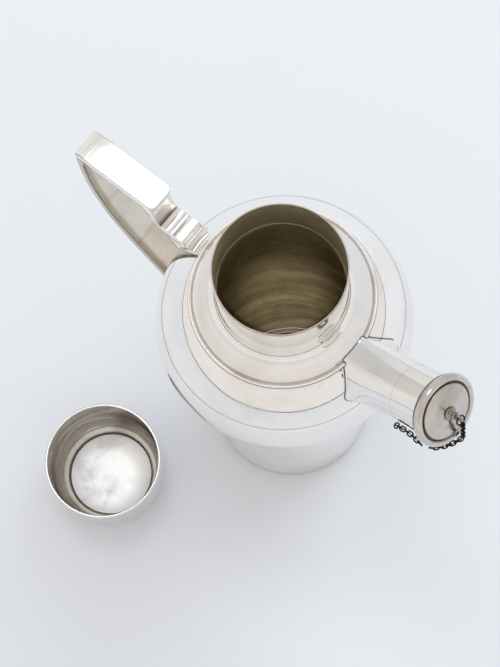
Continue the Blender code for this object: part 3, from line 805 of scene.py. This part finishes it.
def make_lid():
    place = Matrix.Translation(LID_AT)
    disc_r = LID_FLOOR_R
    inner = bezier((disc_r + 0.7, 1.9), (disc_r + 0.9, 3.2), (disc_r + 1.4, 3.7), (disc_r + 2.2, 3.7), 8)
    inner += bezier((disc_r + 2.2, 3.7), (29.6, 4.4), (LID_R, 12.0), (LID_R, 21.0), 30)[1:]
    outer = offset(inner, -LID_WALL)
    outer[0] = (disc_r + 0.6, 0.5)
    inner += line((LID_R, 23), (LID_R, LID_H - 2.3), 8)
    outer += line((LID_R + LID_WALL, 23), (LID_R + LID_WALL, LID_H - 2.3), 8)
    shell = turned("lid_wall", outer[::-1] + inner, [LID_SILVER, LID_INSIDE],
                   [range(len(outer) - 1, len(outer) + len(inner))], matrix=place)
    fix_normals(shell)
    disc = [(0, 0.25), (disc_r - 4, 0.2), (disc_r - 0.4, 0.0), (disc_r, 0.15), (disc_r + 0.35, 0.5),
            (disc_r + 0.35, 1.5), (disc_r - 0.4, 1.5), (disc_r - 0.9, 1.25), (12, 1.2), (0, 1.2)]
    top = turned("lid_top", disc, [LID_SILVER, LID_FLOOR], [range(5, 9)], matrix=place)
    fix_normals(top)
    low = LID_AT + UP * 1.75
    # A dark wire round the floor's edge: the joint line, darkened further as painted shade of the corner
    corner = wire_ring("lid_corner_seam_and_shade_line", low, UP, disc_r + 0.5, 0.42, SEAM, CAP_STEPS, LINE_SIDES)
    wire = rounded([(LID_R, LID_H - 2.1, 0.2), (LID_BEAD, LID_H - 2.1, 0.8), (LID_BEAD, LID_H, 0.85),
                    (LID_R, LID_H, 0.6)])
    rim = turned("lid_rim", wire, [LID_SILVER], matrix=place)
    fix_normals(rim)
    return [(shell, ["lid_shell"], "silver_lid"), (top, ["lid_top_disc"], "silver_lid"),
            (rim, ["lid_rim_wire"], "silver_lid"), (corner, [], "silver_lid")]


# -------------------------------------------------------------- spout cap

BEAD_R, BEAD_AT, BEAD_HALF, BEAD_TALL = 15.9, -2.0, 1.8, 2.2
SLEEVE_OUT, SLEEVE_IN, SLEEVE_END = 12.6, 11.8, -13.4
FLANGE_R, FLANGE_AT, FLANGE_THICK = 16.5, -4.5, 0.6


def cap_piece(name, outline, material, steps=CAP_STEPS, smooth_angle=SMOOTH_ANGLE):
    """A piece turned about the spout's axis, its heights measured from the cap's centre."""
    piece = turned(name, outline, [material], steps=steps, matrix=AXIS_FRAME, smooth_angle=smooth_angle)
    fix_normals(piece)
    return piece


def make_cap():
    bead_outline = [(BEAD_R + BEAD_HALF * math.cos(-a), BEAD_AT + BEAD_TALL * math.sin(-a))
                    for a in (2 * math.pi * i / 40 for i in range(40))]
    bead = cap_piece("cap_rim", bead_outline, CAP_SILVER)
    disc_outline = [(0, 0.6), (13.2, -1.1), (13.6, -0.9), (13.6, -0.25), (13.4, 0.0)]
    disc_outline += bezier((13.2, 0.1), (9, 0.75), (5.2, 1.35), (3.6, 1.75), 14) + [(0, 1.9)]
    disc = cap_piece("cap_face", disc_outline, CAP_SATIN, smooth_angle=40)
    below = FLANGE_AT - FLANGE_THICK
    sleeve_outline = rounded([(SLEEVE_IN, -1.4, 0.2), (SLEEVE_OUT, -1.4, 0.2), (SLEEVE_OUT, FLANGE_AT, 0),
                              (FLANGE_R, FLANGE_AT, 0.2), (FLANGE_R, below, 0.2), (SLEEVE_OUT, below, 0),
                              (SLEEVE_OUT, SLEEVE_END, 0.3), (SLEEVE_IN, SLEEVE_END, 0.3)])
    # The sleeve wears the dark knob metal, so its flange shows as painted shade in the gap between bead and
    # spout
    sleeve = cap_piece("cap_plug", sleeve_outline, CAP_KNOB, SLEEVE_STEPS)
    seat = [(13.3, -1.6), (14.6, -1.6), (14.6, -0.9), (13.3, -0.9)]
    groove = cap_piece("cap_groove", seat, SEAM, SLEEVE_STEPS)
    waist, bulge, top = (1.35, 3.6), (2.0, 4.9), (0.6, 6.0)
    stem = bezier((3.3, 2.2), (3.3, 2.9), (1.9, 2.7), waist, 12)
    stem += bezier(waist, (1.2, 4.1), (2.0, 4.3), bulge, 10)[1:]
    stem += bezier(bulge, (2.0, 5.6), (1.2, 5.9), top, 10)[1:]
    finial = cap_piece("cap_knob", [(0, 2.2)] + stem + [(0, 6.0)], CAP_KNOB, 40)
    eye = wire_ring("cap_knob_eye", EYE, SIDE, 1.9, 0.62, CAP_KNOB, 48, 16)
    fix_normals(eye)
    return [(bead, ["cap_bead"], "silver_cap"), (disc, ["cap_disc"], "silver_cap"),
            (sleeve, ["cap_sleeve"], "silver_cap"), (groove, [], "silver_cap"),
            (finial, ["cap_finial"], "silver_cap"), (eye, [], "silver_cap")]


# ------------------------------------------------------------------ chain

LINK_INNER, LINK_WIRE, LINK_WIDTH, LINK_PITCH = 2.44, 0.7, 2.80, 2.08
RING_R, RING_WIRE, LUG_RING_R = 2.3, 0.4, 1.8
LUG_R, LUG_WIRE, LUG_ANGLE = 1.3, 0.4, math.radians(75)
# Each run's route after its first point: along the spout, angle from below (degrees), distance from the axis
LUG_ROUTE = ((-14.0, 71, 16.6), (-10.5, 67, 17.5), (-8.0, 64, 18.5), (-6.4, 61, 19.6))
CAP_ROUTE = ((5.6, 4, 9.0), (3.8, 6, 13.4), (1.8, 6, 17.4), (-0.4, 10, 20.0), (-2.0, 21, 20.2),
             (-3.4, 32, 20.0), (-4.6, 43, 19.8), (-5.4, 51, 19.7))


def route(start, stations):
    return [start] + [axis_point(along, math.radians(angle), radius) for along, angle, radius in stations]


def smooth_path(points, pitch):
    """Places at an even pitch along a smooth curve through the points."""
    ends = [2 * points[0] - points[1]] + points + [2 * points[-1] - points[-2]]
    fine = []
    for a, b, c, d in zip(ends, ends[1:], ends[2:], ends[3:]):
        for i in range(40):
            t = i / 40
            fine.append(0.5 * (2 * b + (c - a) * t + (2 * a - 5 * b + 4 * c - d) * t * t
                               + (3 * b - a - 3 * c + d) * t ** 3))
    spaced, travelled = [fine[0]], 0.0
    for before, after in zip(fine, fine[1:]):
        travelled += (after - before).length
        if travelled >= pitch:
            spaced.append(after)
            travelled -= pitch
    return spaced


def chain_run(prefix, points, normal):
    """Oval links along a path, each a quarter turn from the one before."""
    made = []
    spots = smooth_path(points, LINK_PITCH)
    bend = LINK_WIDTH / 2 - LINK_WIRE / 2
    straight = LINK_INNER / 2 + LINK_WIRE / 2 - bend
    for i, spot in enumerate(spots):
        before, after = spots[max(i - 1, 0)], spots[min(i + 1, len(spots) - 1)]
        along = (after - before).normalized()
        normal = (normal - along * normal.dot(along)).normalized()
        facing = Matrix.Rotation(math.pi / 2 * i, 3, along) @ normal
        name = f"{prefix}_{i + 1:02d}"
        link = wire_ring(f"{name}_fine", spot, facing, bend, LINK_WIRE / 2, CHAIN_METAL, 28, 10,
                         along, straight)
        made.append((link, [name], "chain_oxidised"))
    return made


def make_chain():
    out = (axis_point(0, LUG_ANGLE, 2) - axis_point(0, LUG_ANGLE, 1)).normalized()
    across = out.cross(AXIS)
    lug = wire_ring("lug_fine", LUG, across, LUG_R, LUG_WIRE, SEAM, 32, 12)
    hooked = LUG + AXIS * LUG_RING_R
    ring = wire_ring("lug_ring_fine", hooked, out, LUG_RING_R, RING_WIRE, CHAIN_METAL, 32, 12)
    hung = EYE + DOWN * (RING_R - 0.35)
    top_ring = wire_ring("cap_ring_fine", hung, AXIS, RING_R, RING_WIRE, CHAIN_METAL, 32, 12)
    made = [(lug, ["chain_lug"], "silver_spout"), (ring, ["lug_jump_ring"], "chain_oxidised"),
            (top_ring, ["cap_jump_ring"], "chain_oxidised")]
    made += chain_run("lug_link", route(LUG + AXIS * 4.1, LUG_ROUTE), across)
    return made + chain_run("cap_link", route(EYE + DOWN * 4.75, CAP_ROUTE), SIDE)


# ----------------------------------------------------------------- studio

FLOOR_R, FLOOR_SIDES = 1000.0, 128
FLAG_SIDES = 96

# Places in metres, directions in degrees
CAMERA = {"place": (0.1567, -0.1650, 0.9683), "azimuth": 138, "pitch": 74.34, "roll": 9.63, "lens": 91.75}
OVERHEAD = {"place": (-0.48, 0.28, 2.09), "target": (-0.08, 0, 0.1), "size": 0.60, "power": 3.55,
            "colour": (1.0, 0.99, 0.98)}
WINDOW = {"place": (0.05, 1.75, 1.75), "target": (0, 0, 0.05), "size": 1.6, "power": 15,
          "colour": (0.93, 0.97, 1.0)}
MOUTH_LAMP = {"place": (0.16, -0.175, 1.0), "target": Vector((12, -13, NECK_TOP)) * MM, "cone": 3.7,
              "power": 50, "colour": (1.0, 0.93, 0.79)}

# The tent round the set: colours by height, then the glow towards the window and the open background
TENT = ((0.0, (0.78, 0.755, 0.74)), (0.05, (0.80, 0.775, 0.765)), (0.25, (0.76, 0.735, 0.72)),
        (0.55, (0.66, 0.635, 0.615)), (0.8, (0.74, 0.70, 0.68)), (1.0, (0.76, 0.725, 0.70)))
GLOW_TOWARDS = Vector((-0.05, 0.75, 0.66)).normalized()
GLOW_COLOUR = (0.68, 0.705, 0.735)
OPEN_COLOUR = (0.78, 0.80, 0.84)
TENT_STRENGTH = 1.08


def make_floor():
    n = MaterialNodes("floor_paper")
    paper = n.mix(n.noise(3.0, 3), (0.83, 0.865, 0.905), (0.855, 0.89, 0.93))
    n.link(paper, n.shader.inputs["Base Color"])
    n.link(n.bump(n.noise(900, 2), 0.05, 0.0001), n.shader.inputs["Normal"])
    n.shader.inputs["Roughness"].default_value = 0.75
    n.shader.inputs["Specular IOR Level"].default_value = 0.2
    points = circle((0, 0), FLOOR_R, 0, FLOOR_SIDES)
    floor = finish_mesh("floor", points, [list(range(FLOOR_SIDES))], [n.material])


def circle(centre, radius, height, count):
    """Points round a level circle."""
    return [Vector((x, y, height)) for x, y in arc(centre, radius, 0, 360 * (count - 1) / count, count)]


def make_flag(name, centre, radius, low, high, wide, shade):
    """A thin grey band standing round the set, seen only as a line in the polished metal."""
    n = MaterialNodes(name + "_card")
    card = n.mix(n.noise(20, 2), shade, tuple(c * 1.2 for c in shade))
    n.link(card, n.shader.inputs["Base Color"])
    n.shader.inputs["Roughness"].default_value = 0.9
    n.shader.inputs["Specular IOR Level"].default_value = 0.0
    count = FLAG_SIDES
    points = circle(centre, radius, low, count) + circle(centre, radius + wide, high, count)
    faces = [[i, (i + 1) % count, count + (i + 1) % count, count + i] for i in range(count)]
    flag = finish_mesh(name, points, faces, [n.material])
    flag.visible_camera = False
    flag.visible_shadow = False
    flag.visible_diffuse = False


def make_camera(place, azimuth, pitch, roll, lens):
    """The camera, looking down at an azimuth and pitch, and rolled about its own view."""
    azimuth, pitch, roll = math.radians(azimuth), math.radians(pitch), math.radians(roll)
    level = Vector((math.cos(azimuth), math.sin(azimuth), 0))
    forward = level * math.cos(pitch) - UP * math.sin(pitch)
    right = Vector((level.y, -level.x, 0))
    right = right * math.cos(roll) + forward.cross(right) * math.sin(roll)
    down = forward.cross(right)
    data = bpy.data.cameras.new("camera")
    data.lens = lens
    data.sensor_width = 36
    camera = add_object("camera", data)
    camera.matrix_world = Matrix((right, -down, -forward)).transposed().to_4x4()
    camera.location = place
    bpy.context.scene.camera = camera


def aim(light, place, target):
    light.location = place
    light.rotation_euler = (Vector(target) - Vector(place)).to_track_quat("-Z", "Y").to_euler()


def area_light(name, place, target, size, power, colour):
    data = bpy.data.lights.new(name, "AREA")
    data.shape = "DISK"
    data.size = size
    data.energy = power
    data.color = colour
    light = add_object(name, data)
    aim(light, place, target)
    return light


def mouth_light(place, target, cone, power, colour):
    """A narrow spot that reaches down through the neck into the pot."""
    data = bpy.data.lights.new("mouth", "SPOT")
    data.energy = power
    data.spot_size = math.radians(cone)
    data.spot_blend = 0.8
    data.shadow_soft_size = 0.01
    data.color = colour
    light = add_object("mouth", data)
    aim(light, place, target)
    light.visible_glossy = False


def make_world():
    """A pale tent with a cooler, brighter glow towards the window; camera rays see an even pale blue."""
    world = bpy.data.worlds.new("studio")
    bpy.context.scene.world = world
    n = Nodes(world, "Generated")
    ramp = n.tree.nodes.new("ShaderNodeValToRGB")
    elements = ramp.color_ramp.elements
    for position, colour in TENT:
        if 0 < position < 1:
            elements.new(position)
    for element, (position, colour) in zip(elements, TENT):
        element.color = (*colour, 1)
    n.link(n.along("Z"), ramp.inputs["Fac"])
    facing = n.tree.nodes.new("ShaderNodeVectorMath")
    facing.operation = "DOT_PRODUCT"
    facing.inputs[1].default_value = GLOW_TOWARDS
    n.link(n.place, facing.inputs[0])
    glow = n.spread(facing.outputs["Value"], 0.25, 1.0)
    path = n.tree.nodes.new("ShaderNodeLightPath")
    tent = n.mix(glow, ramp.outputs["Color"], GLOW_COLOUR)
    back = n.tree.nodes["Background"]
    n.link(n.mix(path.outputs["Is Camera Ray"], tent, OPEN_COLOUR), back.inputs["Color"])
    back.inputs["Strength"].default_value = TENT_STRENGTH


def main():
    groups = {"pot": make_body() + make_tier() + make_neck() + make_base() + make_spout() + make_handle(),
              "lid": make_lid(), "spout_cap": make_cap()}
    bodies = frame["record"]["behaviour"]["bodies"]
    body_of_node = {node: body for body, nodes in bodies.items() for node in nodes}
    pieces = [(piece, nodes, slot, body) for body, group in groups.items() for piece, nodes, slot in group]
    pieces += [(piece, nodes, slot, body_of_node[nodes[0]]) for piece, nodes, slot in make_chain()]
    for piece, nodes, slot, body in pieces:
        if nodes:
            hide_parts(*nodes)
        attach(piece, body)
    strainer = frame["nodes"]["spout_strainer"].data
    strainer.materials.clear()
    strainer.materials.append(INSIDE)
    make_floor()
    make_world()
    make_flag("far_edge", (0, 0), FLOOR_R - 6, 2, 16, 0, (0.16, 0.14, 0.13))
    make_flag("near_edge", (70, -60), 300, 0.5, 1.5, 9, (0.34, 0.31, 0.29))
    area_light("overhead", **OVERHEAD)
    area_light("window", **WINDOW).visible_glossy = False
    mouth_light(**MOUTH_LAMP)
    make_camera(**CAMERA)
    bpy.context.scene.view_settings.view_transform = "Standard"


main()
